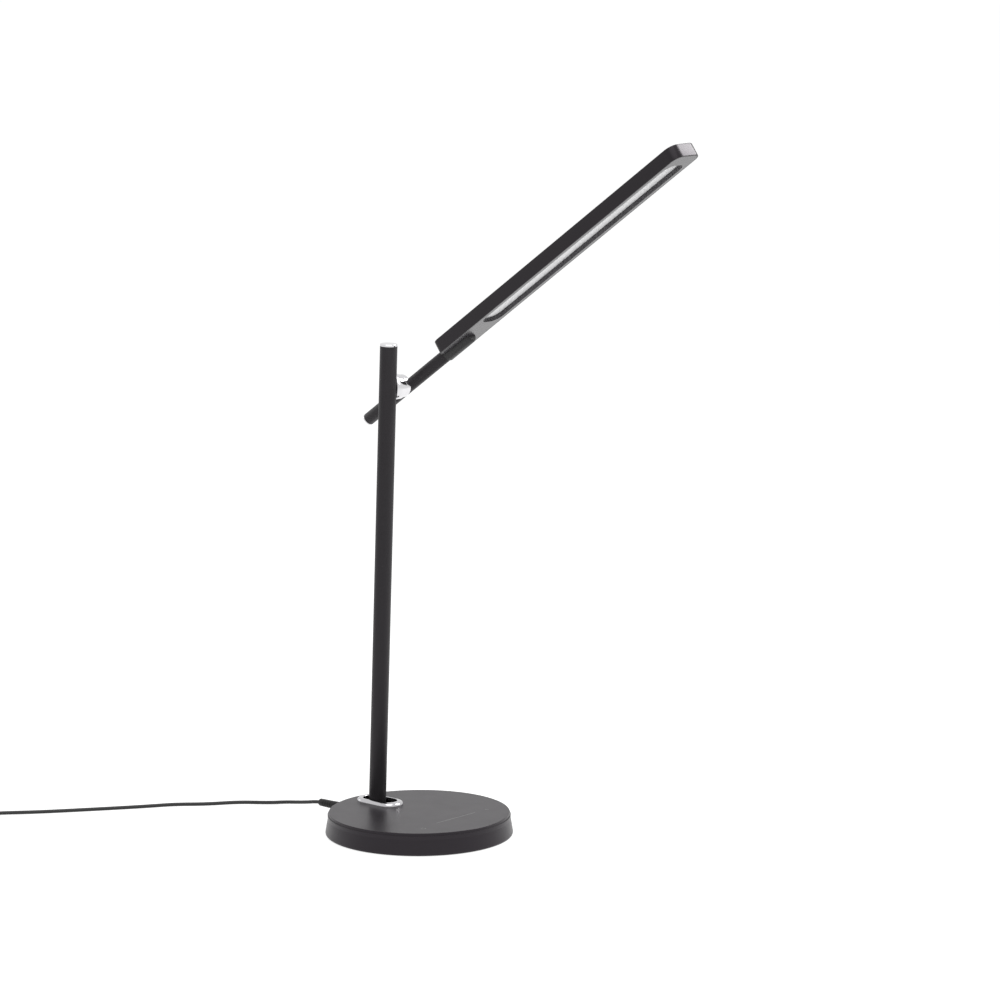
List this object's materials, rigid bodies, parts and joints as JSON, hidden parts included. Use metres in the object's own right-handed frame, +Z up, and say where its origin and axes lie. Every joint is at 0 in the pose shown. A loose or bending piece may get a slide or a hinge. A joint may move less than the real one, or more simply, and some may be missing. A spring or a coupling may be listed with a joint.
{
  "type": "led desk lamp",
  "caption": "Desk lamp with a round base, a tilting post, a pivoting arm and a long flat LED head that swivels, with touch controls and a wall adapter on its lead.",
  "frame": {"origin": "centre of the foot pad's underside, on the desk", "axes": "+Z up, +X to the front where the light head reaches, +Y to the side of the post that carries the arm"},
  "size_m": [0.8725, 0.3452, 0.676],
  "materials": {
    "base_paint": "satin",
    "plate_paint": "matte",
    "foot_rubber": "matte",
    "weight_iron": "matte",
    "screw_steel": "satin",
    "trim_chrome": "polished",
    "bracket_steel": "satin",
    "pin_steel": "satin",
    "washer_nylon": "satin",
    "board_green": "satin",
    "pad_foam": "matte",
    "jack_plastic": "satin",
    "nut_steel": "satin",
    "lead_vinyl": "matte",
    "barrel_steel": "polished",
    "plug_vinyl": "satin",
    "cord_vinyl": "satin",
    "tie_plastic": "matte",
    "adapter_plastic": "matte",
    "pin_brass": "polished",
    "knuckle_steel": "satin",
    "tube_paint": "satin",
    "cap_chrome": "polished",
    "insert_steel": "satin",
    "joint_chrome": "polished",
    "brake_plastic": "matte",
    "swivel_brass": "satin",
    "pod_plastic": "satin",
    "head_paint": "satin",
    "frame_plastic": "matte",
    "opal_plastic": "satin",
    "white_plastic": "gloss",
    "led_board_metal": "satin",
    "led_yellow": "satin",
    "spreader_metal": "satin"
  },
  "bodies": {
    "base": {"base_cover": "base_paint", "base_bottom_plate": "plate_paint", "foot_pad": "foot_rubber", "base_weight": "weight_iron", "cover_screws": "screw_steel", "slot_trim": "trim_chrome", "hinge_bracket": "bracket_steel", "bracket_screws": "screw_steel", "hinge_pins": "pin_steel", "hinge_washers": "washer_nylon", "control_board": "board_green", "board_screws": "screw_steel", "touch_pads": "pad_foam", "power_jack": "jack_plastic", "jack_nut": "nut_steel", "power_lead": "lead_vinyl", "lamp_lead": "lead_vinyl", "plug_barrel": "barrel_steel", "plug_body": "plug_vinyl", "cord_lead": "cord_vinyl", "cord_coil": "cord_vinyl", "cord_tail": "cord_vinyl", "cord_tie": "tie_plastic", "adapter_relief": "plug_vinyl", "adapter_body": "adapter_plastic", "adapter_pins": "pin_brass"},
    "post": {"post_knuckle": "knuckle_steel", "post_tube": "tube_paint", "post_cap": "cap_chrome", "post_insert": "insert_steel", "post_lead": "lead_vinyl", "joint_drum": "joint_chrome", "drum_screws": "screw_steel", "brake_washer": "brake_plastic"},
    "arm": {"joint_hub": "joint_chrome", "joint_axle": "pin_steel", "spring_washer": "pin_steel", "axle_nut": "nut_steel", "arm_tube": "tube_paint", "arm_end_cap": "cap_chrome", "arm_lead": "lead_vinyl", "swivel_plug": "swivel_brass"},
    "head": {"swivel_pod": "pod_plastic", "swivel_screw": "screw_steel", "pod_screws": "screw_steel", "head_housing": "head_paint", "head_frame": "frame_plastic", "diffuser": "opal_plastic", "light_box": "white_plastic", "led_board": "led_board_metal", "led_chips": "led_yellow", "heat_spreader": "spreader_metal", "head_lead": "lead_vinyl"}
  },
  "joints": [
    {"name": "post_tilt", "type": "hinge", "parent": "base", "child": "post", "pos_m": [-0.0546, 0, 0.011], "axis": [0, 1, 0], "range_deg": [-20, 35]},
    {"name": "arm_tilt", "type": "hinge", "parent": "post", "child": "arm", "pos_m": [-0.03835, 0, 0.42648], "axis": [0, -1, 0], "range_deg": [-100, 50]},
    {"name": "head_roll", "type": "hinge", "parent": "arm", "child": "head", "pos_m": [-0.03684, 0.026, 0.42437], "axis": [0.8141, 0, 0.5807], "range_deg": [-90, 90]}
  ]
}
